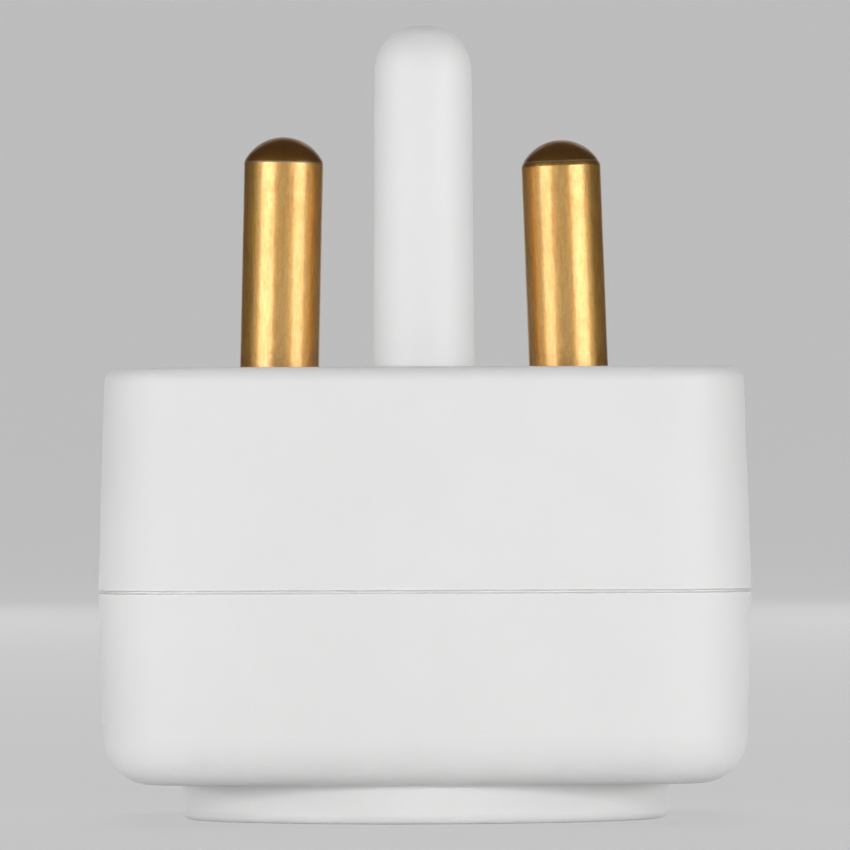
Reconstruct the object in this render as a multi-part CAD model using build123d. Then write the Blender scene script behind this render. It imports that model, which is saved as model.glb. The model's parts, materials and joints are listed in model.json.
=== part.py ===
from build123d import *
import os
from math import asin, atan, cos, degrees, hypot, radians, sin, tan

# Double socket adapter, in millimetres. It stands on its round socket face at Z = 0 with the plug pins up.
# The earth pin is at the front (-Y), and the line and neutral pins are behind it, right and left.

# Body: two shells that meet at a seam
body_width = 56.13
body_depth = 56.13
body_height = 35.84
plan_corner_radius = 8.5
wall = 2.4
seam_drop = 19.25
pin_side_draft = 1.85
socket_side_draft = 1.68
plug_edge_radius = 1.3
socket_edge_radius = 4.2
inner_edge_radius = 1.0

# Groove around the seam, shared by both rims
groove_depth = 0.8
groove_mouth = 0.36
groove_root = 0.08

# Tongue of the socket shell inside the rim of the pin shell
tongue_thickness = 1.1
tongue_height = 2.0
tongue_clearance = 0.08

# Round raised socket face, as wide as the two outlets and a rim around their far corners need
collar_rim = 1.5325
collar_height = 3.46
collar_edge_radius = 0.9
collar_root_radius = 0.3

# Two flat two-pin outlets side by side in the socket face
outlet_pitch = 15.4
outlet_length = 35.5
outlet_width = 14.0
outlet_flat_length = 26.1
outlet_nose_width = 2.0
outlet_corner_radius = 1.6
outlet_recess = 1.2
face_mouth_radius = 0.3
contact_pitch = 19.0
entry_radius = 2.6
entry_chamfer = 0.5
guide_wall = 1.6
guide_height = 4.6

# Brass line and neutral pins
pin_radius = 3.49
pin_spacing = 25.45
pin_row_y = 11.5
pin_height = 20.38
dome_radius = 3.85
pin_clearance = 0.05
pin_root_step = 0.2
pin_root_drop = 0.3
pin_sink_room = 1.4
pin_sink_depth = 0.8
flange_depth = 6.0
flange_radius = 5.0
flange_thickness = 2.0
tail_radius = 2.6
tail_length = 4.2
pin_play = 0.6
pin_boss_wall = 2.6

# The play lets each brass pin lean inwards and slide in, as degrees and millimetres
neutral_lean = 1.39
neutral_push = 0.0
line_lean = 2.0
line_push = 0.34

# Plastic earth pin
earth_row_distance = 28.6
earth_root_radius = 4.37
earth_shoulder_radius = 4.18
earth_height = 29.4
earth_dome_height = 4.3
earth_dome_fullness = 0.626
earth_flange_radius = 7.0
earth_flange_thickness = 2.4
earth_key_width = 5.0
earth_key_depth = 2.4
earth_key_clearance = 0.05

# Plate that traps the pin flanges
retainer_thickness = 3.0
retainer_bar_length = 36.0
retainer_bar_width = 11.6
retainer_tongue_width = 20.0
retainer_front_margin = 0.3
retainer_corner_radius = 3.0
retainer_tail_clearance = 0.3
inner_wall_clearance = 0.4

# Thread-forming screws in plastic
screw_radius = 1.45
screw_head_radius = 2.7
screw_head_height = 2.0
screw_fit = 0.02
screw_hole_clearance = 0.15
screw_slot_width = 0.9
screw_slot_depth = 0.9
screw_boss_wall = 1.9
screw_end_room = 0.8
retainer_screw_length = 9.0
retainer_screw_side_x = 6.5
retainer_screw_side_y = -7.5
carrier_screw_length = 7.6
case_screw_length = 16.0
case_screw_inset = 6.7
case_screw_seat = 3.5
case_head_clearance = 0.6
case_boss_wall = 1.3

# Contacts, strips and their fasteners
contact_thickness = 0.6
contact_height = 8.0
contact_lift = 2.2
contact_web_offset = 3.4
contact_web_half_width = 3.0
contact_grip = 3.7
contact_grip_length = 1.4
contact_mouth_offset = 3.2
contact_mouth_half_width = 3.1
contact_bend_radius = 0.7
strip_thickness = 0.8
strip_height = 7.4
strip_end_margin = 3.4
strip_bend_radius = 1.4
riser_front_margin = 4.7
riser_width = 5.2
lug_end_margin = 4.0
lug_corner_radius = 1.5
rivet_radius = 1.2
rivet_fit = 0.02
rivet_head_radius = 2.0
rivet_head_height = 0.6
terminal_radius = 1.5
terminal_fit = 0.02
terminal_hole_clearance = 0.1
terminal_length = 7.0
terminal_tap_room = 0.6
terminal_head_radius = 2.75
terminal_head_height = 2.0
washer_thickness = 0.8
washer_radius = 2.9
washer_gap = 0.7

# Insulating tub around the contacts
carrier_wall = 1.5
carrier_floor = 1.4
carrier_head_room = 2.72
carrier_core_wall = 2.4
carrier_room_x = 4.3
carrier_room_y = 4.4
carrier_corner_radius = 1.2
carrier_rib_thickness = 1.6
carrier_rib_rise = 5.0
carrier_slot_clearance = 0.1
carrier_entry_clearance = 0.2
carrier_ear_thickness = 2.6
carrier_ear_radius = 3.35
carrier_ear_gap = 3.2

# Heights and places worked out from the sizes above
plug_face_z = collar_height + body_height
seam_z = plug_face_z - seam_drop
plug_inner_z = plug_face_z - wall
floor_z = collar_height + wall
disc_inner_z = outlet_recess + wall
guide_top_z = disc_inner_z + guide_height
flange_seat_z = plug_face_z - flange_depth
retainer_top_z = flange_seat_z - flange_thickness - pin_play
retainer_bottom_z = retainer_top_z - retainer_thickness
tail_end = -flange_depth - flange_thickness - tail_length
terminal_seat = tail_end - strip_thickness - washer_thickness
terminal_head_z = plug_face_z - line_push + terminal_seat - terminal_head_height
contact_y = outlet_pitch / 2
outlet_reach = max(
    hypot(outlet_length / 2, contact_y + outlet_nose_width / 2),
    hypot(outlet_flat_length / 2, contact_y + outlet_width / 2),
)
collar_radius = outlet_reach + collar_rim
earth_y = pin_row_y - earth_row_distance
pin_dome_height = dome_radius - dome_radius * cos(asin(pin_radius / dome_radius))
pin_root_radius = pin_radius + pin_root_step
screw_boss_radius = screw_radius + screw_boss_wall
case_head_hole_radius = screw_head_radius + case_head_clearance
case_boss_radius = case_head_hole_radius + case_boss_wall
case_screw_x = body_width / 2 - case_screw_inset
case_screw_y = body_depth / 2 - case_screw_inset
case_seat_z = seam_z + case_screw_seat
contact_x = contact_pitch / 2
contact_bottom_z = guide_top_z + contact_lift
contact_web_x = contact_x - contact_web_offset
strip_x = contact_web_x - contact_thickness / 2 - strip_thickness / 2
strip_bottom_z = contact_bottom_z + (contact_height - strip_height) / 2
strip_half_length = contact_y + strip_end_margin
rivet_z = contact_bottom_z + contact_height / 2
riser_start_y = pin_row_y - riser_front_margin
carrier_top_z = terminal_head_z - carrier_head_room
carrier_half_x = contact_x + carrier_room_x + carrier_wall
carrier_half_y = contact_y + carrier_room_y + carrier_wall
carrier_ear_y = carrier_half_y + carrier_ear_gap

SIDES = {"neutral": -1, "line": 1}
ENDS = {"front": -1, "rear": 1}
LEANS = {"neutral": neutral_lean, "line": line_lean}
PUSHES = {"neutral": neutral_push, "line": line_push}
CUT = 1.0


def pin_place(pole):
    """Frame of a brass pin: origin on the plug face when it isn't pushed in, Z along the leaning pin."""
    side = SIDES[pole]
    place = Location((side * pin_spacing / 2, pin_row_y, plug_face_z), (0, -side * LEANS[pole], 0))
    return place * Pos(0, 0, -PUSHES[pole])


def bore_place(pole):
    """Frame of a pin's bore in the pin shell, which leans with the pin but isn't pushed in."""
    return pin_place(pole) * Pos(0, 0, PUSHES[pole])


def upright_cylinder(radius, low_z, high_z, x=0.0, y=0.0):
    """Cylinder on a vertical axis between two heights."""
    height = high_z - low_z
    return Pos(x, y, low_z) * Cylinder(radius, height, align=(Align.CENTER, Align.CENTER, Align.MIN))


def upright_box(low, high):
    """Box between two corners."""
    size = [b - a for a, b in zip(low, high)]
    return Pos(*low) * Box(*size, align=(Align.MIN, Align.MIN, Align.MIN))


def turned(outline):
    """Solid turned about Z from a closed outline of radius and height."""
    return revolve(Plane.XZ * make_face(outline), Axis.Z)


def drafted_block(inset, height, draft):
    """Block on the body's plan, brought in by an inset, that stands on Z = 0 and narrows upwards."""
    plan = RectangleRounded(body_width - 2 * inset, body_depth - 2 * inset, plan_corner_radius - inset)
    return extrude(plan, height, taper=draft)


def top_edges(solid):
    """Edges around the highest face."""
    return solid.faces().sort_by(Axis.Z)[-1].edges()


def mouth_edges(face):
    """Edges of every hole in a face."""
    return [edge for wire in face.inner_wires() for edge in wire.edges()]


def rim_cutter():
    """This rim's half of the seam groove: a ring that opens outwards to the mouth's half height."""
    root = groove_root / 2
    rise = groove_mouth / 2 - root
    ring_height = root + rise
    reach = body_width + body_depth
    block = upright_box((-reach, -reach, -CUT), (reach, reach, ring_height))
    flare = degrees(atan(groove_depth / rise))
    core = Pos(0, 0, ring_height) * mirror(drafted_block(0, rise, flare), about=Plane.XY)
    neck = Pos(0, 0, -CUT) * extrude(
        RectangleRounded(
            body_width - 2 * groove_depth,
            body_depth - 2 * groove_depth,
            plan_corner_radius - groove_depth,
        ),
        CUT + root,
    )
    return block - core - neck


def shell_outside(height, draft, edge_radius):
    """Outside of one shell, with its seam on Z = 0 and its closed end up."""
    outside = drafted_block(0, height, draft)
    outside = fillet(top_edges(outside), edge_radius)
    return outside - rim_cutter()


def shell_hollow(height, draft, edge_radius):
    """Hollow of one shell, with its seam on Z = 0."""
    hollow = drafted_block(wall, height - wall, draft)
    return fillet(top_edges(hollow), max(edge_radius - wall, inner_edge_radius))


def seam_ring(outer_inset, inner_inset, height):
    """Upright ring that follows the body's plan between two insets."""
    return straight_block(outer_inset, height) - straight_block(inner_inset, height)


def straight_block(inset, height):
    """Straight block on the body's plan, brought in by an inset."""
    plan = RectangleRounded(body_width - 2 * inset, body_depth - 2 * inset, plan_corner_radius - inset)
    return extrude(plan, height)


def room_in_pin_shell(low_z, high_z):
    """Space between two heights that clears the pin shell's walls and its case screw bosses."""
    inset = wall + (high_z - seam_z) * tan(radians(pin_side_draft)) + inner_wall_clearance
    room = Pos(0, 0, low_z) * straight_block(inset, high_z - low_z)
    for x, y in case_screw_places().values():
        room -= upright_cylinder(case_boss_radius + inner_wall_clearance, low_z - CUT, high_z + CUT, x, y)
    return room


def case_screw_places():
    """Name and place of each case screw."""
    return {
        f"{end}_{side}": (x * case_screw_x, y * case_screw_y)
        for end, y in ENDS.items()
        for side, x in (("left", -1), ("right", 1))
    }


def retainer_screw_places():
    """Name and place of each retainer screw."""
    return {
        "rear": (0, pin_row_y),
        "left": (-retainer_screw_side_x, retainer_screw_side_y),
        "right": (retainer_screw_side_x, retainer_screw_side_y),
    }


def make_pin_shell():
    """Upper shell: plug face, side walls, pin bores in shallow round sinks, and screw bosses."""
    to_seam = Pos(0, 0, seam_z)
    outside = to_seam * shell_outside(seam_drop, pin_side_draft, plug_edge_radius)
    shell = outside - to_seam * shell_hollow(seam_drop, pin_side_draft, plug_edge_radius)
    for pole in SIDES:
        boss = Cylinder(
            pin_root_radius + pin_boss_wall,
            flange_depth - wall / 2,
            align=(Align.CENTER, Align.CENTER, Align.MIN),
        )
        shell += bore_place(pole) * Pos(0, 0, -flange_depth) * boss
    shell += upright_cylinder(
        earth_root_radius + pin_boss_wall, flange_seat_z, plug_inner_z + CUT, 0, earth_y
    )
    for x, y in retainer_screw_places().values():
        shell += upright_cylinder(screw_boss_radius, retainer_top_z, plug_inner_z + CUT, x, y)
    for x, y in case_screw_places().values():
        shell += upright_cylinder(case_boss_radius, seam_z, plug_inner_z + CUT, x, y) & outside
    for pole in SIDES:
        bore = Cylinder(pin_root_radius + pin_clearance, 2 * (flange_depth + CUT))
        shell -= bore_place(pole) * bore
        place = (SIDES[pole] * pin_spacing / 2, pin_row_y)
        shell -= upright_cylinder(
            pin_radius + pin_sink_room, plug_face_z - pin_sink_depth, plug_face_z + CUT, *place
        )
    shell -= upright_cylinder(
        earth_root_radius + pin_clearance, flange_seat_z - CUT, plug_face_z + CUT, 0, earth_y
    )
    for x, y in retainer_screw_places().values():
        top = retainer_bottom_z + retainer_screw_length + screw_end_room
        shell -= upright_cylinder(screw_radius + screw_fit, retainer_top_z - CUT, top, x, y)
    for x, y in case_screw_places().values():
        shell -= upright_cylinder(case_head_hole_radius, case_seat_z, plug_face_z + CUT, x, y)
        shell -= upright_cylinder(screw_radius + screw_hole_clearance, seam_z - CUT, case_seat_z + CUT, x, y)
    rebate = seam_ring(
        wall - tongue_thickness - tongue_clearance, wall + tongue_clearance, tongue_height + tongue_clearance
    )
    shell -= to_seam * rebate
    return fillet(mouth_edges(shell.faces().sort_by(Axis.Z)[-1]), face_mouth_radius)


def outlet_outline():
    """Flat plug's outline: long flats, and ends that slope to a blunt nose."""
    flat = outlet_flat_length / 2
    half_length = outlet_length / 2
    half_width = outlet_width / 2
    nose = outlet_nose_width / 2
    corners = [
        (flat, half_width),
        (-flat, half_width),
        (-half_length, nose),
        (-half_length, -nose),
        (-flat, -half_width),
        (flat, -half_width),
        (half_length, -nose),
        (half_length, nose),
    ]
    outline = make_face(Polyline(*corners, close=True))
    return fillet(outline.vertices(), outlet_corner_radius)


def is_collar_root(edge):
    """Whether an edge is the circle where the collar meets the body."""
    on_level = abs(edge.center().Z - collar_height) < collar_root_radius
    return on_level and abs(edge.radius - collar_radius) < collar_root_radius


def make_socket_shell():
    """Lower shell: side walls, round raised socket face with two outlets, guide tubes and screw bosses."""
    to_seam = Pos(0, 0, seam_z)
    height = seam_z - collar_height
    outside = shell_outside(height, socket_side_draft, socket_edge_radius)
    hollow = shell_hollow(height, socket_side_draft, socket_edge_radius)
    outside = to_seam * mirror(outside, about=Plane.XY)
    hollow = to_seam * mirror(hollow, about=Plane.XY)
    collar = upright_cylinder(collar_radius, 0, collar_height + wall / 2)
    collar = fillet(collar.faces().sort_by(Axis.Z)[0].edges(), collar_edge_radius)
    shell = outside + collar
    root = shell.edges().filter_by(GeomType.CIRCLE).filter_by(is_collar_root)
    shell = fillet(root, collar_root_radius) - hollow
    shell -= upright_cylinder(collar_radius - wall, disc_inner_z, floor_z + CUT)
    tongue = seam_ring(wall - tongue_thickness, wall, tongue_height + wall)
    shell += Pos(0, 0, seam_z - wall) * tongue
    for x, y in case_screw_places().values():
        shell += upright_cylinder(case_boss_radius, collar_height + wall / 2, seam_z, x, y) & outside
        end = case_seat_z - case_screw_length - screw_end_room
        shell -= upright_cylinder(screw_radius + screw_fit, end, seam_z + CUT, x, y)
    for end_sign in ENDS.values():
        y = end_sign * carrier_ear_y
        shell += upright_cylinder(screw_boss_radius, disc_inner_z - wall / 2, guide_top_z, 0, y)
        end = guide_top_z + carrier_ear_thickness - carrier_screw_length - screw_end_room / 2
        shell -= upright_cylinder(screw_radius + screw_fit, end, guide_top_z + CUT, 0, y)
        recess = extrude(outlet_outline(), outlet_recess + CUT)
        shell -= Pos(0, end_sign * contact_y, -CUT) * recess
        for side in SIDES.values():
            place = (side * contact_x, end_sign * contact_y)
            shell += upright_cylinder(
                entry_radius + guide_wall, disc_inner_z - wall / 2, guide_top_z, *place
            )
    shell = fillet(mouth_edges(shell.faces().sort_by(Axis.Z)[0]), face_mouth_radius)
    for end_sign in ENDS.values():
        for side in SIDES.values():
            place = (side * contact_x, end_sign * contact_y)
            shell -= upright_cylinder(entry_radius, -CUT, guide_top_z + CUT, *place)
            mouth = Cone(
                entry_radius + entry_chamfer,
                entry_radius,
                entry_chamfer,
                align=(Align.CENTER, Align.CENTER, Align.MIN),
            )
            shell -= Pos(*place, outlet_recess) * mouth
    return shell


def make_brass_pin(pole):
    """Round pin with a domed end, a thicker root in its bore, a flange under the seat and a tapped tail."""
    start = pin_height - pin_dome_height
    half = asin(pin_radius / dome_radius) / 2
    centre = pin_height - dome_radius
    dome = ThreePointArc(
        (pin_radius, start),
        (dome_radius * sin(half), centre + dome_radius * cos(half)),
        (0, pin_height),
    )
    sides = Polyline(
        (0, pin_height),
        (0, tail_end),
        (tail_radius, tail_end),
        (tail_radius, -flange_depth - flange_thickness),
        (flange_radius, -flange_depth - flange_thickness),
        (flange_radius, -flange_depth),
        (pin_root_radius, -flange_depth),
        (pin_root_radius, -pin_root_drop),
        (pin_radius, -pin_root_drop),
        (pin_radius, start),
    )
    pin = turned(sides + dome)
    tapped = upright_cylinder(
        terminal_radius + terminal_fit, tail_end - CUT, tail_end + terminal_reach() + terminal_tap_room
    )
    return pin_place(pole) * (pin - tapped)


def terminal_reach():
    """How far a terminal screw goes into its pin's tail."""
    return terminal_length - strip_thickness - washer_thickness


def make_earth_pin():
    """Solid plastic pin, slightly tapered, with a full round end, a flange and a square key."""
    start = earth_height - earth_dome_height
    dome = Bezier(
        (earth_shoulder_radius, start),
        (earth_shoulder_radius, start + earth_dome_fullness * earth_dome_height),
        (earth_dome_fullness * earth_shoulder_radius, earth_height),
        (0, earth_height),
    )
    bottom = -flange_depth - earth_flange_thickness
    sides = Polyline(
        (0, earth_height),
        (0, bottom),
        (earth_flange_radius, bottom),
        (earth_flange_radius, -flange_depth),
        (earth_root_radius, -flange_depth),
        (earth_root_radius, 0),
        (earth_shoulder_radius, start),
    )
    half = earth_key_width / 2
    key = upright_box((-half, -half, bottom - earth_key_depth), (half, half, bottom + CUT))
    pin = Pos(0, earth_y, plug_face_z) * (turned(sides + dome) + key)
    low_z = plug_face_z + bottom - earth_key_depth - CUT
    seat = upright_box((-body_width, -body_depth, low_z), (body_width, body_depth, flange_seat_z))
    return (pin - seat) + (pin & room_in_pin_shell(low_z, flange_seat_z))


def make_pin_retainer():
    """Flat T-shaped plate under the three flanges."""
    bar = Pos(0, pin_row_y) * Rectangle(retainer_bar_length, retainer_bar_width)
    front = earth_y - earth_flange_radius - retainer_front_margin
    tongue = Pos(0, (front + pin_row_y) / 2) * Rectangle(retainer_tongue_width, pin_row_y - front)
    plan = fillet((bar + tongue).vertices(), retainer_corner_radius)
    plate = Pos(0, 0, retainer_bottom_z) * extrude(plan, retainer_thickness)
    for pole in SIDES:
        hole = Cylinder(tail_radius + retainer_tail_clearance, body_height / 2)
        plate -= pin_place(pole) * Pos(0, 0, -flange_depth - flange_thickness - tail_length / 2) * hole
    half = earth_key_width / 2 + earth_key_clearance
    plate -= upright_box(
        (-half, earth_y - half, retainer_bottom_z - CUT), (half, earth_y + half, retainer_top_z + CUT)
    )
    for x, y in retainer_screw_places().values():
        radius = screw_radius + screw_hole_clearance
        plate -= upright_cylinder(radius, retainer_bottom_z - CUT, retainer_top_z + CUT, x, y)
    return plate & room_in_pin_shell(retainer_bottom_z, retainer_top_z)


def screw_blank(radius, length, head_radius, head_height):
    """Slotted pan-head screw, with its head above Z = 0 and its shank below."""
    head = upright_cylinder(head_radius, 0, head_height)
    head = fillet(top_edges(head), head_height / 2)
    shank = upright_cylinder(radius, -length, CUT)
    shank = chamfer(shank.faces().sort_by(Axis.Z)[0].edges(), radius / 2)
    slot = Pos(0, 0, head_height) * Box(4 * head_radius, screw_slot_width, 2 * screw_slot_depth)
    return head + shank - slot


def make_retainer_screw(x, y):
    """Screw up through the retainer into the pin shell."""
    blank = screw_blank(screw_radius, retainer_screw_length, screw_head_radius, screw_head_height)
    return Pos(x, y, retainer_bottom_z) * mirror(blank, about=Plane.XY)


def make_carrier_screw(y):
    """Screw down through an ear of the contact carrier into the socket shell."""
    blank = screw_blank(screw_radius, carrier_screw_length, screw_head_radius, screw_head_height)
    return Pos(0, y, guide_top_z + carrier_ear_thickness) * blank


def make_case_screw(x, y):
    """Screw down its deep hole in the plug face into a boss of the socket shell."""
    blank = screw_blank(screw_radius, case_screw_length, screw_head_radius, screw_head_height)
    return Pos(x, y, case_seat_z) * blank


def make_terminal_screw(pole):
    """Machine screw from below through washer and strip into the pin's tail."""
    blank = screw_blank(terminal_radius, terminal_length, terminal_head_radius, terminal_head_height)
    return pin_place(pole) * Pos(0, 0, terminal_seat) * mirror(blank, about=Plane.XY)


def make_spring_washer(pole):
    """Split ring between the terminal screw's head and the strip."""
    ring = upright_cylinder(washer_radius, 0, washer_thickness)
    ring -= upright_cylinder(terminal_radius + terminal_hole_clearance, -CUT, washer_thickness + CUT)
    split = upright_box(
        (0, -washer_gap / 2, -CUT), (2 * washer_radius, washer_gap / 2, washer_thickness + CUT)
    )
    return pin_place(pole) * Pos(0, 0, terminal_seat) * (ring - split)


def make_contact(pole, end):
    """Sprung contact: a strip bent in plan, whose two leaves grip a plug's pin from front and rear."""
    grip = contact_grip / 2 + contact_thickness / 2
    half_grip = contact_grip_length / 2
    leaf = [
        (contact_mouth_offset, contact_mouth_half_width),
        (half_grip, grip),
        (-half_grip, grip),
        (-contact_web_offset, contact_web_half_width),
    ]
    path = FilletPolyline(*leaf, *[(x, -y) for x, y in reversed(leaf)], radius=contact_bend_radius)
    spring = extrude(trace(path, contact_thickness), contact_height)
    rivet_hole = Rot(0, 90, 0) * Cylinder(rivet_radius + rivet_fit, 2 * CUT + contact_thickness)
    spring -= Pos(-contact_web_offset, 0, contact_height / 2) * rivet_hole
    if SIDES[pole] < 0:
        spring = mirror(spring, about=Plane.YZ)
    return Pos(SIDES[pole] * contact_x, ENDS[end] * contact_y, contact_bottom_z) * spring


def make_rivet(pole, end):
    """Rivet with two low heads through a contact's web and the strip."""
    grip = contact_thickness + strip_thickness
    shank = Cylinder(rivet_radius, grip)
    heads = [Pos(0, 0, sign * (grip + rivet_head_height) / 2) for sign in (-1, 1)]
    rivet = shank + heads[0] * Cylinder(rivet_head_radius, rivet_head_height)
    rivet += heads[1] * Cylinder(rivet_head_radius, rivet_head_height)
    middle_x = contact_web_x + contact_thickness / 2 - grip / 2
    return Pos(SIDES[pole] * middle_x, ENDS[end] * contact_y, rivet_z) * (Rot(0, 90, 0) * rivet)


def make_busbar(pole):
    """Strip on edge along both contacts, with a riser that folds out into a lug under the pin's tail."""
    side = SIDES[pole]
    lug_z = tail_end - strip_thickness / 2
    lug_middle = (pin_place(pole) * Pos(0, 0, lug_z)).position
    slope = side * tan(radians(LEANS[pole]))
    corner_x = side * strip_x
    corner_z = lug_middle.Z + (corner_x - lug_middle.X) * slope
    end_x = lug_middle.X + side * lug_end_margin
    end_z = lug_middle.Z + (end_x - lug_middle.X) * slope
    turn_x = corner_x + side * 2 * strip_bend_radius
    turn_z = lug_middle.Z + (turn_x - lug_middle.X) * slope
    folded = FilletPolyline(
        (corner_x, strip_bottom_z), (corner_x, corner_z), (end_x, end_z), radius=strip_bend_radius
    )
    riser = folded_strip(folded, riser_start_y, riser_width)
    lug_length = pin_row_y + lug_end_margin - riser_start_y
    lug = folded_strip(Line((turn_x, turn_z), (end_x, end_z)), riser_start_y, lug_length)
    bar = upright_box(
        (corner_x - strip_thickness / 2, -strip_half_length, strip_bottom_z),
        (corner_x + strip_thickness / 2, strip_half_length, strip_bottom_z + strip_height),
    )
    busbar = riser + lug + bar
    far_edges = busbar.edges().filter_by(lambda edge: abs(edge.length - strip_thickness) < groove_root / 2)
    outer_ends = far_edges.filter_by(lambda edge: side * edge.center().X > side * end_x - groove_root)
    busbar = fillet(outer_ends, lug_corner_radius)
    hole = Cylinder(terminal_radius + terminal_hole_clearance, 2 * CUT + strip_thickness)
    busbar -= pin_place(pole) * Pos(0, 0, lug_z) * hole
    for end_sign in ENDS.values():
        rivet_hole = Rot(0, 90, 0) * Cylinder(rivet_radius + rivet_fit, 2 * CUT + strip_thickness)
        busbar -= Pos(corner_x, end_sign * contact_y, rivet_z) * rivet_hole
    return busbar


def folded_strip(path, start_y, width):
    """Strip of the busbars' thickness along a path in X and Z, with a width along Y."""
    section = Plane.XZ * trace(path, strip_thickness)
    return Pos(0, start_y, 0) * extrude(section, width, dir=(0, 1, 0))


def make_contact_carrier():
    """Insulating tub with a chamber for each pole, entry holes, slotted ribs and two screw ears."""
    plan = RectangleRounded(2 * carrier_half_x, 2 * carrier_half_y, carrier_corner_radius)
    tub = Pos(0, 0, guide_top_z) * extrude(plan, carrier_top_z - guide_top_z)
    for end_sign in ENDS.values():
        y = end_sign * carrier_ear_y
        ear_top = guide_top_z + carrier_ear_thickness
        tub += upright_cylinder(carrier_ear_radius, guide_top_z, ear_top, 0, y)
        low_y, high_y = sorted((end_sign * (carrier_half_y - carrier_wall / 2), y))
        tub += upright_box(
            (-carrier_ear_radius, low_y, guide_top_z), (carrier_ear_radius, high_y, ear_top)
        )
        hole_radius = screw_radius + screw_hole_clearance
        tub -= upright_cylinder(hole_radius, guide_top_z - CUT, ear_top + CUT, 0, y)
    chamber_floor_z = guide_top_z + carrier_floor
    chamber_y = carrier_half_y - carrier_wall
    for side in SIDES.values():
        low_x, high_x = sorted((side * carrier_core_wall / 2, side * (carrier_half_x - carrier_wall)))
        chamber = upright_box(
            (low_x, -chamber_y, chamber_floor_z), (high_x, chamber_y, carrier_top_z + CUT)
        )
        tub -= chamber
        rib_top = strip_bottom_z + carrier_rib_rise
        half_rib = carrier_rib_thickness / 2
        rib = upright_box((low_x, -half_rib, chamber_floor_z), (high_x, half_rib, rib_top))
        half_slot = strip_thickness / 2 + carrier_slot_clearance
        slot = upright_box(
            (side * strip_x - half_slot, -carrier_rib_thickness, strip_bottom_z),
            (side * strip_x + half_slot, carrier_rib_thickness, rib_top + CUT),
        )
        tub += rib - slot
        for end_sign in ENDS.values():
            radius = entry_radius + carrier_entry_clearance
            place = (side * contact_x, end_sign * contact_y)
            tub -= upright_cylinder(radius, guide_top_z - CUT, chamber_floor_z + CUT, *place)
    return tub


def write(name, solid):
    """One STEP file for each piece."""
    export_step(solid, f"parts/{name}.step")


os.makedirs("parts", exist_ok=True)
write("pin_shell", make_pin_shell())
write("socket_shell", make_socket_shell())
write("earth_pin", make_earth_pin())
write("pin_retainer", make_pin_retainer())
write("contact_carrier", make_contact_carrier())
for pole_name in SIDES:
    write(f"{pole_name}_pin", make_brass_pin(pole_name))
    write(f"{pole_name}_busbar", make_busbar(pole_name))
    write(f"{pole_name}_terminal_screw", make_terminal_screw(pole_name))
    write(f"{pole_name}_spring_washer", make_spring_washer(pole_name))
    for end_name in ENDS:
        write(f"{pole_name}_contact_{end_name}", make_contact(pole_name, end_name))
        write(f"{pole_name}_rivet_{end_name}", make_rivet(pole_name, end_name))
for screw_name, screw_place in retainer_screw_places().items():
    write(f"retainer_screw_{screw_name}", make_retainer_screw(*screw_place))
for screw_name, screw_place in case_screw_places().items():
    write(f"case_screw_{screw_name}", make_case_screw(*screw_place))
for end_name, sign in ENDS.items():
    write(f"carrier_screw_{end_name}", make_carrier_screw(sign * carrier_ear_y))
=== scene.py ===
import json
from math import asin, atan2, cos, pi, radians, sin

import bmesh
import bpy
import numpy as np
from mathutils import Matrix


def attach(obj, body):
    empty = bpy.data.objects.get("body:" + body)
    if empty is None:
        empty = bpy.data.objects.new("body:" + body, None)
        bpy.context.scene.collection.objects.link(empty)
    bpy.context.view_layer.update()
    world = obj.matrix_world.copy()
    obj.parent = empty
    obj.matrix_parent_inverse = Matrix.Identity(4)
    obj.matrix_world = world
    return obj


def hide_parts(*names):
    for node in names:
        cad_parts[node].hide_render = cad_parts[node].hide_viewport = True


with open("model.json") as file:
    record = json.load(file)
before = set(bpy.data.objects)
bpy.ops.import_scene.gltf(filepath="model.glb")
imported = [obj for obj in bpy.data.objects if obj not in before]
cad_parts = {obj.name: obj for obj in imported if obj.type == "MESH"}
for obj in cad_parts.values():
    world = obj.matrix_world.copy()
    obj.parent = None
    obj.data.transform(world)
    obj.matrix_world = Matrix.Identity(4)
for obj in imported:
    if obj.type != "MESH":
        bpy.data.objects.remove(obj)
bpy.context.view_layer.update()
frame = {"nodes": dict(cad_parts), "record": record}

# Looks of the double socket adapter: brass pins, plastic earth pin, moulded shells, studio and camera.
# Lengths in the shape functions are millimetres, in the frame of the part's source: +Z along the pins,
# -Y towards the earth pin, Z = 0 on the socket face. They become metres when a mesh is made.

MM = 0.001

PLUG_FACE = 39.3
SEAM = 20.05
PIN_X = 12.725
PIN_Y = 11.5
PIN_SHOULDER = 18.16
EARTH_Y = -17.1
# Each brass pin's side, its lean inwards, and how far it is pushed in along its axis
LEAN = {"neutral": (-1, radians(1.39), 0.0), "line": (1, radians(2.0), 0.34)}
# Power of an area lamp for each square metre of its face and each unit of radiance
POWER_PER_AREA = 4.0


# Shapes

def solid_mesh(name, points):
    """Mesh object from a grid of closed rings of points, with the first and last ring on the axis."""
    rings, around = points.shape[:2]
    grid = np.arange(rings * around).reshape(rings, around)
    ahead = np.roll(grid, -1, axis=1)
    quads = np.stack([grid[:-1], ahead[:-1], ahead[1:], grid[1:]], axis=-1).reshape(-1, 4)
    mesh = bpy.data.meshes.new(name)
    mesh.from_pydata((points.reshape(-1, 3) * MM).tolist(), [], quads.tolist())
    return finished(name, mesh)


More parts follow.
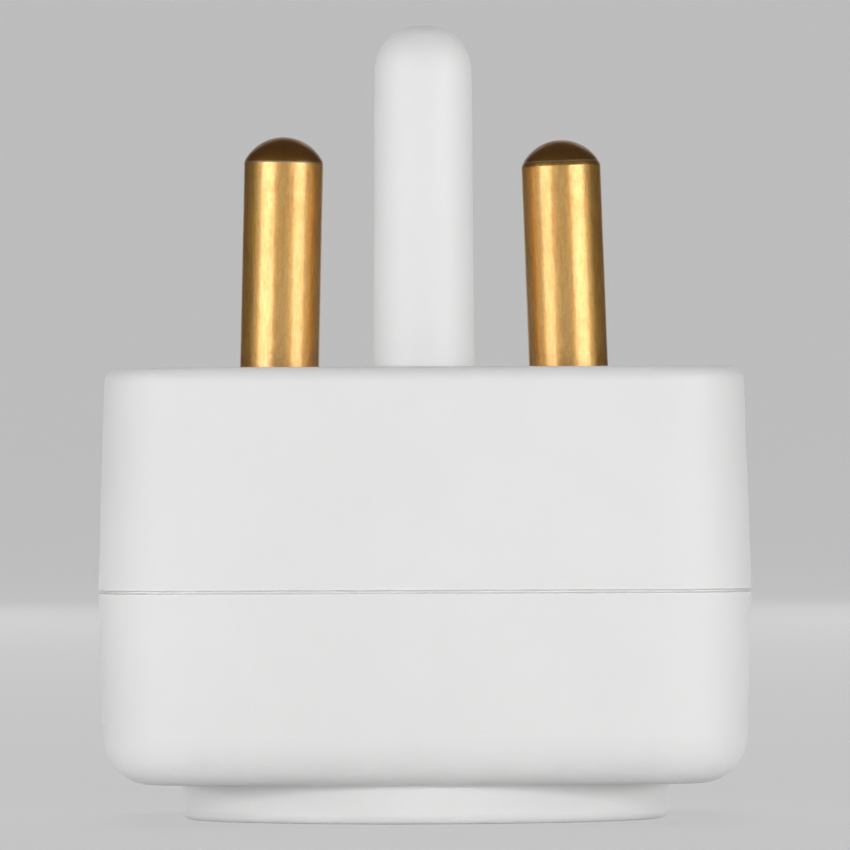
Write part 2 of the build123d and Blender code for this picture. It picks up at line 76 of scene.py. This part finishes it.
def finished(name, mesh):
    """Object for a piece: poles welded, faces outwards, smooth shading up to sharp turned edges."""
    work = bmesh.new()
    work.from_mesh(mesh)
    bmesh.ops.remove_doubles(work, verts=work.verts, dist=1e-7)
    bmesh.ops.dissolve_degenerate(work, edges=work.edges, dist=1e-8)
    bmesh.ops.recalc_face_normals(work, faces=work.faces)
    work.to_mesh(mesh)
    work.free()
    mesh.shade_smooth()
    mesh.set_sharp_from_angle(angle=radians(30))
    piece = bpy.data.objects.new(name, mesh)
    bpy.context.scene.collection.objects.link(piece)
    return piece


def rounded_profile(corners, steps=6):
    """Radius and height along a turned profile. Each corner is (radius, height, cut): both its runs end
    that far from it, or at 0.45 of the shorter run if that is less, and between them lies a quadratic
    curve with the corner as its middle control point."""
    line = [corners[0][:2]]
    for before, here, after in zip(corners, corners[1:], corners[2:]):
        corner = np.array(here[:2], float)
        back = np.array(before[:2], float) - corner
        ahead = np.array(after[:2], float) - corner
        cut = min(here[2], 0.45 * np.linalg.norm(back), 0.45 * np.linalg.norm(ahead))
        if cut <= 0:
            line.append(tuple(corner))
            continue
        start = corner + back / np.linalg.norm(back) * cut
        end = corner + ahead / np.linalg.norm(ahead) * cut
        t = np.linspace(0, 1, steps)[:, None]
        arc = (1 - t) ** 2 * start + 2 * t * (1 - t) * corner + t ** 2 * end
        line.extend(map(tuple, arc))
    line.append(corners[-1][:2])
    return np.array(line)


def densified(line, longest):
    """The same profile with extra points, so that no run is longer than the given length."""
    pieces = []
    for a, b in zip(line[:-1], line[1:]):
        count = max(1, int(np.ceil(np.linalg.norm(b - a) / longest)))
        pieces.append(a + (b - a) * np.linspace(0, 1, count, endpoint=False)[:, None])
    return np.vstack(pieces + [line[-1:]])


def turned(line, around):
    """Grid of points turned about Z: x = r cos a, y = r sin a, z = height, a over one full turn."""
    turn = np.linspace(0, 2 * pi, around, endpoint=False)
    radius, height = line[:, 0][:, None], line[:, 1][:, None]
    return np.stack([radius * np.cos(turn), radius * np.sin(turn), height + 0 * turn], axis=-1)


def brass_pin(pole):
    """Turned pin: a dome of 3.85 mm radius meets the 3.49 mm wall at a crisp shoulder, with a thicker
    root in the shell, a flange and a tail with a blind hole. The wall dips by up to 8 microns, as a drawn
    bar does: its radius is multiplied by 1 + 0.0006 (w - 2), where w is the sum of a sine along the pin
    and one that also goes round it twice, and the dip fades out at the foot and at the shoulder."""
    side, lean, push = LEAN[pole]
    wall, dome, height = 3.49, 3.85, 20.38
    root, flange, tail, hole = 3.69, 5.0, 2.6, 1.52
    root_top, flange_top, flange_foot, tail_end, hole_end = -0.3, -6.0, -8.0, -12.2, -6.2
    swing = 0.0006
    reach = asin(wall / dome)
    angle = np.linspace(0, reach, 28)
    cap = np.stack([dome * np.sin(angle), height - dome + dome * np.cos(angle)], axis=-1)
    shoulder = cap[-1][1]
    body = rounded_profile([
        (wall - 0.02, shoulder, 0),
        (wall, shoulder - 0.05, 0.03),
        (wall, root_top, 0),
        (root, root_top, 0.02),
        (root, flange_top, 0),
        (flange, flange_top, 0.15),
        (flange, flange_foot, 0.15),
        (tail, flange_foot, 0.1),
        (tail, tail_end, 0.3),
        (hole, tail_end, 0.1),
        (hole, hole_end, 0),
        (0.0, hole_end, 0),
    ])
    line = densified(np.vstack([cap[:-1], body]), 0.4)
    grid = turned(line, 144)
    axial = grid[..., 2]
    turn = np.arctan2(grid[..., 1], grid[..., 0])
    free = np.clip(axial, 0, 1) * np.clip((shoulder - axial) / 2, 0, 1)
    waves = np.sin(axial * 0.9 + side) + np.sin(2 * turn + axial * 0.35)
    swell = 1 + free * swing * (waves - 2)
    grid[..., :2] *= swell[..., None]
    x, z = grid[..., 0].copy(), grid[..., 2] - push
    tilt = -side * lean
    grid[..., 0] = x * cos(tilt) + z * sin(tilt) + side * PIN_X
    grid[..., 2] = z * cos(tilt) - x * sin(tilt) + PLUG_FACE
    grid[..., 1] += PIN_Y
    piece = solid_mesh(f"{pole}_pin_turned", grid)
    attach(piece, "root")
    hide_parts(f"{pole}_pin")
    return piece


def earth_pin():
    """Moulded pin: a wall that tapers from 4.37 to 4.18 mm radius, a full round end on a cubic curve, a
    flange, and a square key. The key's rows go round a square with softened corners: the radius along
    an angle a is the half width over the twelfth root of |cos a|^12 + |sin a|^12."""
    root, top, height, start = 4.37, 4.18, 29.4, 25.1
    flange, key = 7.0, 2.5
    flange_top, flange_foot, key_end = -6.0, -8.4, -10.8
    fullness = 0.626
    squareness = 12
    t = np.linspace(0, 1, 40)[:, None]
    knots = np.array([
        (0, height),
        (fullness * top, height),
        (top, start + fullness * (height - start)),
        (top, start),
    ])
    cap = (1 - t) ** 3 * knots[0] + 3 * t * (1 - t) ** 2 * knots[1] + 3 * t ** 2 * (1 - t) * knots[2]
    cap = cap + t ** 3 * knots[3]
    body = rounded_profile([
        (root, 0, 0),
        (root, flange_top, 0.1),
        (flange, flange_top, 0.2),
        (flange, flange_foot, 0.2),
        (key, flange_foot, 0.15),
        (key, key_end, 0.2),
        (0.0, key_end, 0),
    ])
    line = densified(np.vstack([cap, body]), 0.5)
    grid = turned(line, 160)
    turn = np.arctan2(grid[..., 1], grid[..., 0])
    powers = np.abs(np.cos(turn)) ** squareness + np.abs(np.sin(turn)) ** squareness
    square = 1 / powers ** (1 / squareness)
    under_flange = np.clip((flange_foot + 0.05 - grid[..., 2]) / 0.1, 0, 1)
    on_key = under_flange * (np.hypot(grid[..., 0], grid[..., 1]) < key + 0.1)
    grid[..., :2] *= (1 + on_key * (square - 1))[..., None]
    grid += np.array([0, EARTH_Y, PLUG_FACE])
    piece = solid_mesh("earth_pin_moulded", grid)
    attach(piece, "root")
    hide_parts("earth_pin")
    return piece


# Shader trees

class Wire:
    """One output of a shader node; arithmetic on it adds Math nodes to the same tree."""

    def __init__(self, tree, socket):
        self.tree = tree
        self.socket = socket

    def math(self, operation, *terms):
        return self.tree.node("ShaderNodeMath", {"operation": operation}, dict(enumerate(terms)))

    def __add__(self, other):
        return self.math("ADD", self, other)

    def __sub__(self, other):
        return self.math("SUBTRACT", self, other)

    def __rsub__(self, other):
        return self.math("SUBTRACT", other, self)

    def __mul__(self, other):
        return self.math("MULTIPLY", self, other)

    __radd__ = __add__
    __rmul__ = __mul__

    def between(self, low, high):
        """0 below low, 1 above high, smooth in between; the other way round where low is above high."""
        settings = {"interpolation_type": "SMOOTHSTEP"}
        if low < high:
            return self.tree.node("ShaderNodeMapRange", settings, {"Value": self, 1: low, 2: high})
        return 1 - self.tree.node("ShaderNodeMapRange", settings, {"Value": self, 1: high, 2: low})

    def near(self, centre, outer, inner):
        """1 within inner of centre, 0 farther than outer from it, smooth in between."""
        return self.between(centre - outer, centre - inner) * self.between(centre + outer, centre + inner)


class Tree:
    """Node tree of a material or of the world."""

    def __init__(self, owner):
        owner.use_nodes = True
        self.made = owner.node_tree.nodes
        self.links = owner.node_tree.links
        self.made.clear()

    def node(self, kind, settings=None, inputs=None, out=0):
        """New node with its settings first, then its inputs by name or number; gives one of its outputs."""
        new = self.made.new(kind)
        for name, value in (settings or {}).items():
            setattr(new, name, value)
        for name, value in (inputs or {}).items():
            if isinstance(value, Wire):
                self.links.new(value.socket, new.inputs[name])
            else:
                new.inputs[name].default_value = value
        return Wire(self, new.outputs[out]) if new.outputs else None

    def blend(self, factor, first, second):
        """Colour between two others."""
        first, second = (c if isinstance(c, Wire) else (*c, 1.0) for c in (first, second))
        return self.node(
            "ShaderNodeMix", {"data_type": "RGBA"}, {0: factor, 6: first, 7: second}, out=2
        )

    def noise(self, place, scale, detail=2.0, rough=0.5, warp=0.0):
        """Soft noise about 0.5; scale counts its cells in a metre."""
        return self.node("ShaderNodeTexNoise", None, {
            "Vector": place, "Scale": scale, "Detail": detail, "Roughness": rough, "Distortion": warp,
        })

    def framed(self, place, unit=(1, 1, 1), centre=(0, 0, 0), turn=(0, 0, 0)):
        """Coordinates in a frame with its own centre and turn, counted in a unit along each axis."""
        return self.node(
            "ShaderNodeMapping", {"vector_type": "TEXTURE"},
            {"Vector": place, "Location": centre, "Rotation": turn, "Scale": unit},
        )

    def bump(self, height, distance, strength=1.0, below=None):
        """Normal of a fine relief, laid over another one where there is one below."""
        inputs = {"Height": height, "Distance": distance, "Strength": strength}
        if below is not None:
            inputs["Normal"] = below
        return self.node("ShaderNodeBump", None, inputs)


def material(name):
    """New material with an empty tree, and its Object coordinates."""
    made = bpy.data.materials.new(name)
    tree = Tree(made)
    place = tree.node("ShaderNodeTexCoord", None, None, out="Object")
    return made, tree, place


def surfaced(made, tree, **inputs):
    """Principled surface as the material's output."""
    named = {name.replace("_", " "): value for name, value in inputs.items()}
    surface = tree.node("ShaderNodeBsdfPrincipled", None, named)
    tree.node("ShaderNodeOutputMaterial", None, {"Surface": surface})
    return made


def moulded_white(name, white, grain_size, wear_bands, roughness):
    """Matt moulded plastic: fine grain, faint cloudiness, rubbed edges at given heights. The seam's narrow
    V is painted paler on its sides, a painted light, and darker at its root, a painted shade."""
    made, tree, place = material(name)
    height = tree.node("ShaderNodeSeparateXYZ", None, {"Vector": place}, out="Z")
    cloud = tree.noise(place, 38.0, 3.0, 0.6).between(0.35, 0.7)
    fine = tree.noise(place, 1 / grain_size, 2.0, 0.55)
    broad = tree.noise(place, 260.0, 2.0, 0.5)
    rubbed = None
    for low, peak, high in wear_bands:
        band = height.between(low * MM, peak * MM) * height.between(high * MM, peak * MM)
        rubbed = band if rubbed is None else rubbed + band
    patch = tree.noise(place, 420.0, 3.0, 0.6).between(0.42, 0.6)
    worn = rubbed * patch
    # Painted light and painted shade along the seam's V: paler sides, darker root
    groove_painted_light = height.near(SEAM * MM, 0.3 * MM, 0.15 * MM)
    crease_painted_shade = height.near(SEAM * MM, 0.08 * MM, 0.04 * MM)
    dark = tuple(channel * 0.965 for channel in white)
    tone = tree.blend(cloud, dark, white)
    # Painted light on the sides of the seam's V, then painted shade at its root
    tone = tree.blend(groove_painted_light, tone, (0.96, 0.96, 0.955))
    tone = tree.blend(crease_painted_shade, tone, (0.84, 0.84, 0.83))
    tone = tree.blend(worn * 0.25, tone, tuple(min(1.0, channel * 1.05) for channel in white))
    relief = tree.bump(broad, 0.00004, 0.35)
    relief = tree.bump(fine, 0.00002, 0.5, relief)
    return surfaced(
        made, tree,
        Base_Color=tone,
        Roughness=roughness + 0.07 * cloud - 0.12 * worn,
        Normal=relief,
        IOR=1.5,
    )


def worn_brass(name, pole):
    """Turned brass under a worn gloss: drawing streaks along the pin, cloudy tarnish, a brown stain at the
    foot, a dome painted dark brown as painted shade, a painted highlight as a bright line round the
    shoulder, and small pits.
    Its coordinates lean with the pin, and count from the plug face."""
    made, tree, place = material(name)
    side, lean = LEAN[pole][:2]
    foot_centre = (side * PIN_X * MM, PIN_Y * MM, PLUG_FACE * MM)
    along = tree.framed(place, centre=foot_centre, turn=(0, -side * lean, 0))
    level = tree.node("ShaderNodeSeparateXYZ", None, {"Vector": along}, out="Z")
    streaks = tree.noise(tree.framed(along, (1, 1, 7)), 4600.0, 3.0, 0.65)
    broad_streaks = tree.noise(tree.framed(along, (1, 1, 11)), 1100.0, 2.0, 0.5)
    mottle = tree.noise(tree.framed(along, (1, 1, 1.7)), 1500.0, 4.0, 0.7, 0.6)
    speckle = tree.noise(tree.framed(along, (1, 1, 1.5)), 5200.0, 2.0, 0.6)
    cloud = tree.noise(along, 170.0, 3.0, 0.6, 0.8)
    pits = tree.noise(along, 4200.0, 2.0, 0.6).between(0.68, 0.78)
    dome = level.between(18.0 * MM, 18.25 * MM)
    foot = level.between(2.2 * MM, 0.2 * MM) * mottle.between(0.4, 0.62)
    tarnish = cloud.between(0.42, 0.72) * 0.5 + mottle.between(0.45, 0.68) * 0.45
    tone = tree.blend(streaks.between(0.36, 0.64), (0.81, 0.40, 0.062), (0.97, 0.545, 0.11))
    tone = tree.blend(broad_streaks.between(0.35, 0.7) * 0.5, tone, (0.98, 0.585, 0.14))
    tone = tree.blend(tarnish * 0.55, tone, (0.77, 0.35, 0.045))
    tone = tree.blend(speckle.between(0.52, 0.68) * 0.5, tone, (0.64, 0.30, 0.05))
    tone = tree.blend(foot * 0.5, tone, (0.60, 0.26, 0.07))
    # Painted shade: the dome is painted dark brown, for the dark space above that it mirrors
    tone = tree.blend(dome * 0.7, tone, (0.42, 0.19, 0.05))
    # Painted highlight: a bright line round the shoulder, where the turned edge catches the light
    shoulder = level.near(PIN_SHOULDER * MM, 0.11 * MM, 0.03 * MM)
    tone = tree.blend(shoulder * 0.85, tone, (1.0, 0.82, 0.5))
    tone = tree.blend(pits * 0.6, tone, (0.30, 0.15, 0.05))
    relief = tree.bump(broad_streaks, 0.00003, 0.6)
    relief = tree.bump(streaks, 0.00001, 0.7, relief)
    relief = tree.bump(mottle, 0.00002, 0.4, relief)
    relief = tree.bump(speckle, 0.000006, 0.7, relief)
    dulled = 0.35 * tarnish + 0.3 * speckle.between(0.45, 0.65) + 0.15 * streaks + 0.3 * dome
    return surfaced(
        made, tree,
        Base_Color=tone,
        Metallic=1.0,
        Roughness=0.27 + 0.1 * tarnish + 0.08 * streaks + 0.06 * dome,
        Coat_Weight=0.95 - dulled,
        Coat_IOR=2.2,
        Coat_Roughness=0.19,
        Normal=relief,
    )


def rolled_brass(name):
    """Strip brass of the inner contacts: rolling lines, stamped sheen and faint oxide."""
    made, tree, place = material(name)
    lines = tree.noise(tree.framed(place, (1, 20, 1)), 2400.0, 3.0, 0.6)
    oxide = tree.noise(place, 240.0, 4.0, 0.65, 0.4).between(0.45, 0.75)
    tone = tree.blend(lines.between(0.3, 0.7), (0.74, 0.48, 0.22), (0.86, 0.62, 0.32))
    tone = tree.blend(oxide * 0.5, tone, (0.48, 0.27, 0.12))
    return surfaced(
        made, tree,
        Base_Color=tone,
        Metallic=1.0,
        Roughness=0.28 + 0.2 * oxide,
        Normal=tree.bump(lines, 0.00001, 0.4),
    )


def zinc_steel(name):
    """Bright zinc plate on steel: cloudy crystals, a yellowish cast in places, rubbed bright in others."""
    made, tree, place = material(name)
    crystals = tree.noise(place, 1500.0, 3.0, 0.6, 0.5)
    cast = tree.noise(place, 330.0, 2.0, 0.5).between(0.4, 0.7)
    tone = tree.blend(crystals.between(0.3, 0.7), (0.52, 0.53, 0.54), (0.72, 0.72, 0.71))
    tone = tree.blend(cast * 0.35, tone, (0.66, 0.61, 0.48))
    return surfaced(
        made, tree,
        Base_Color=tone,
        Metallic=1.0,
        Roughness=0.26 + 0.16 * crystals,
        Normal=tree.bump(crystals, 0.00001, 0.4),
    )


def inner_black(name):
    """Plain black moulded plastic of the inner pieces: fine grain, flow marks and grey scuffs."""
    made, tree, place = material(name)
    flow = tree.noise(tree.framed(place, (1, 3, 1)), 120.0, 3.0, 0.6, 1.2)
    grain = tree.noise(place, 3600.0, 2.0, 0.5)
    scuff = tree.noise(place, 640.0, 4.0, 0.7).between(0.58, 0.7)
    tone = tree.blend(flow.between(0.3, 0.7), (0.018, 0.018, 0.019), (0.032, 0.032, 0.033))
    tone = tree.blend(scuff * 0.5, tone, (0.07, 0.07, 0.07))
    return surfaced(
        made, tree,
        Base_Color=tone,
        Roughness=0.45 + 0.15 * flow,
        Normal=tree.bump(grain, 0.00002, 0.5),
    )


def dress(piece, finish):
    """Puts one material on every slot of a piece."""
    if not piece.material_slots:
        piece.data.materials.append(finish)
    for slot in piece.material_slots:
        slot.material = finish


# Studio

def paper(name, seen, glow, bounced):
    """Matt paper of the floor and backdrop, very slightly uneven. Where it is seen or mirrored it has a
    plain pale tone and an even glow, and in the light that it throws back on matt surfaces it is white
    paper."""
    made, tree, place = material(name)
    cloud = tree.noise(place, 3.0, 3.0, 0.5)
    thrown = tree.node("ShaderNodeLightPath", None, None, out="Is Diffuse Ray")
    tone = tree.blend(cloud, tuple(channel * 0.98 for channel in seen), seen)
    return surfaced(
        made, tree,
        Base_Color=tree.blend(thrown, tone, bounced),
        Emission_Color=tree.blend(thrown, glow, (0, 0, 0)),
        Emission_Strength=1.0,
        Roughness=0.9,
        Specular_IOR_Level=0.2,
    )


def sweep_floor():
    """Floor that curves up behind the object. Along the sweep the profile is straight to y = 2 m, a quarter
    circle of 0.8 m radius, then straight up; across, it is 8 m wide."""
    front, bend_start, radius, half_width = -4, 2, 0.8, 4
    wall_low, wall_high = 1.2, 2.4
    bend = np.linspace(0, pi / 2, 24)[1:]
    flat = np.linspace(front, bend_start, 30)
    wall = np.linspace(wall_low, wall_high, 4)
    y = np.concatenate([flat, bend_start + radius * np.sin(bend), np.full(len(wall), bend_start + radius)])
    z = np.concatenate([0 * flat, radius - radius * np.cos(bend), wall])
    x = np.linspace(-half_width, half_width, 9)
    points = np.stack([
        np.broadcast_to(x, (len(y), len(x))),
        np.broadcast_to(y[:, None], (len(y), len(x))),
        np.broadcast_to(z[:, None], (len(y), len(x))),
    ], axis=-1)
    grid = np.arange(len(y) * len(x)).reshape(len(y), len(x))
    quads = np.stack([grid[:-1, :-1], grid[:-1, 1:], grid[1:, 1:], grid[1:, :-1]], axis=-1)
    mesh = bpy.data.meshes.new("floor")
    mesh.from_pydata(points.reshape(-1, 3).tolist(), [], quads.reshape(-1, 4).tolist())
    mesh.shade_smooth()
    floor = bpy.data.objects.new("floor", mesh)
    bpy.context.scene.collection.objects.link(floor)
    dress(floor, paper("pale_paper", (0.13, 0.13, 0.13), (0.46, 0.46, 0.46), (0.93, 0.93, 0.93)))


def black_card(name, low_azimuth, high_azimuth, radius, low, high):
    """Upright curved card, a piece of a cylinder about the object, that only shiny surfaces see."""
    turn = np.radians(np.linspace(low_azimuth, high_azimuth, 24))
    column = np.stack([radius * np.sin(turn), -radius * np.cos(turn)], axis=-1)
    points = [(*p, z) for z in (low, high) for p in column.tolist()]
    count = len(turn)
    quads = [(i, i + 1, i + 1 + count, i + count) for i in range(count - 1)]
    card(name, points, quads)


def overhead_card(name, radius, height):
    """Round card over the object that only shiny surfaces see."""
    count = 48
    turn = np.linspace(0, 2 * pi, count, endpoint=False)
    rim = np.stack([radius * np.cos(turn), radius * np.sin(turn)], axis=-1)
    points = [(x, y, height) for x, y in rim.tolist()]
    card(name, points, [tuple(range(count))])


def card(name, points, faces):
    """Sheet of dark brown felt that shows in mirror images alone and throws no shadow."""
    mesh = bpy.data.meshes.new(name)
    mesh.from_pydata(points, [], faces)
    made = bpy.data.objects.new(name, mesh)
    bpy.context.scene.collection.objects.link(made)
    made.visible_camera = False
    made.visible_diffuse = False
    made.visible_transmission = False
    made.visible_volume_scatter = False
    made.visible_shadow = False
    dark, tree, place = material(name + "_felt")
    nap = tree.noise(place, 90.0, 2.0)
    tone = tree.blend(nap, (0.055, 0.045, 0.035), (0.075, 0.06, 0.05))
    dress(made, surfaced(dark, tree, Base_Color=tone, Roughness=0.95, Specular_IOR_Level=0.1))


def softbox(name, width, height, radiance, place, turn, mirrored=False):
    """Rectangular softbox with an even radiance over its face. Only shiny surfaces see it if it is
    mirrored, and only matt ones if it isn't."""
    lamp = bpy.data.lights.new(name, "AREA")
    lamp.shape = "RECTANGLE"
    lamp.size = width
    lamp.size_y = height
    lamp.energy = radiance * width * height * POWER_PER_AREA
    made = bpy.data.objects.new(name, lamp)
    bpy.context.scene.collection.objects.link(made)
    made.location = place
    made.rotation_euler = turn
    made.visible_camera = False
    made.visible_glossy = mirrored
    made.visible_diffuse = not mirrored


def upright_softbox(name, azimuth, distance, high, width, radiance, mirrored=False):
    """Softbox that stands on the floor and faces the object's axis; its azimuth is 0 in front."""
    turn = radians(azimuth)
    place = (distance * sin(turn), -distance * cos(turn), high / 2)
    softbox(name, width, high, radiance, place, (pi / 2, 0, turn), mirrored)


def high_softbox(name, back, height, size, radiance):
    """Square softbox above the object, or above and behind it, turned to it."""
    softbox(name, size, size, radiance, (0, back, height), (-atan2(back, height), 0, 0))


def ambient(strength, background):
    """World: one plain level for matt surfaces, and the backdrop's tone where it is seen or mirrored."""
    world = bpy.data.worlds.new("studio")
    bpy.context.scene.world = world
    tree = Tree(world)
    path = tree.node("ShaderNodeLightPath", None, None, out="Is Diffuse Ray")
    level = path * (strength - background) + background
    light = tree.node("ShaderNodeBackground", None, {"Color": (1, 1, 1, 1), "Strength": level})
    tree.node("ShaderNodeOutputWorld", None, {"Surface": light})
    world.cycles.sampling_method = "NONE"


def camera():
    """Level camera 1.3 m in front, on the earth pin's side, as high as the body's upper part. Its small
    roll and side step are the photo's."""
    side, distance, height = 0.058 * MM, 1.3, 34.3 * MM
    roll = radians(0.22)
    lens = bpy.data.cameras.new("camera")
    lens.sensor_width = 36.0
    lens.lens = 631.0
    lens.clip_start = 0.05
    lens.clip_end = 50.0
    made = bpy.data.objects.new("camera", lens)
    bpy.context.scene.collection.objects.link(made)
    made.location = (side, -distance, height)
    made.rotation_euler = (pi / 2, roll, 0)
    bpy.context.scene.camera = made


# Making

camera()
# Heights where the white plastic is rubbed: start, most worn, end
shell_wear = [(38.0, 39.2, 39.4), (3.3, 4.6, 6.5), (-0.1, 0.3, 1.0)]
earth_wear = [(66.5, 68.6, 68.8)]
shell_white = moulded_white(
    "white_shell", white=(0.800, 0.800, 0.797), grain_size=0.22 * MM, wear_bands=shell_wear, roughness=0.44
)
pin_white = moulded_white(
    "white_pin", white=(0.815, 0.815, 0.812), grain_size=0.3 * MM, wear_bands=earth_wear, roughness=0.42
)
finishes = {
    "white_shell": shell_white,
    "white_pin": pin_white,
    "contacts": rolled_brass("strip_brass"),
    "screw_steel": zinc_steel("zinc_plate"),
    "inner_plastic": inner_black("inner_black"),
}
slots = {part["node"]: part["material_slot"] for part in frame["record"]["subparts"]}
for node, piece in frame["nodes"].items():
    if slots[node] in finishes:
        dress(piece, finishes[slots[node]])
for pole in LEAN:
    dress(brass_pin(pole), worn_brass(f"{pole}_brass", pole))
dress(earth_pin(), pin_white)

sweep_floor()
black_card("card_left", 88, 156, 1.0, 0.0, 1.2)
black_card("card_right", -156, -88, 1.0, 0.0, 1.2)
overhead_card("card_above", 1.4, 1.1)
# Upright softboxes: azimuth in degrees, distance, height and width in metres, radiance
upright_softbox("mirrored_left", -45, 1.25, 0.65, 0.9, 1.66, mirrored=True)
upright_softbox("mirrored_right", 47, 1.25, 0.65, 0.9, 1.66, mirrored=True)
upright_softbox("low_front", 0, 1.6, 0.3, 1.0, 11.6)
upright_softbox("low_left", -80, 1.5, 0.35, 0.9, 5.0)
upright_softbox("low_right", 80, 1.5, 0.35, 0.9, 5.0)
upright_softbox("low_rear_left", -155, 1.5, 0.35, 0.9, 4.6)
upright_softbox("low_rear_right", 155, 1.5, 0.35, 0.9, 4.6)
high_softbox("softbox_top", back=0.0, height=1.5, size=1.2, radiance=0.5)
high_softbox("softbox_rear", back=0.9, height=1.2, size=0.9, radiance=1.3)
ambient(strength=0.14, background=0.42)

view = bpy.context.scene.view_settings
view.view_transform = "Standard"
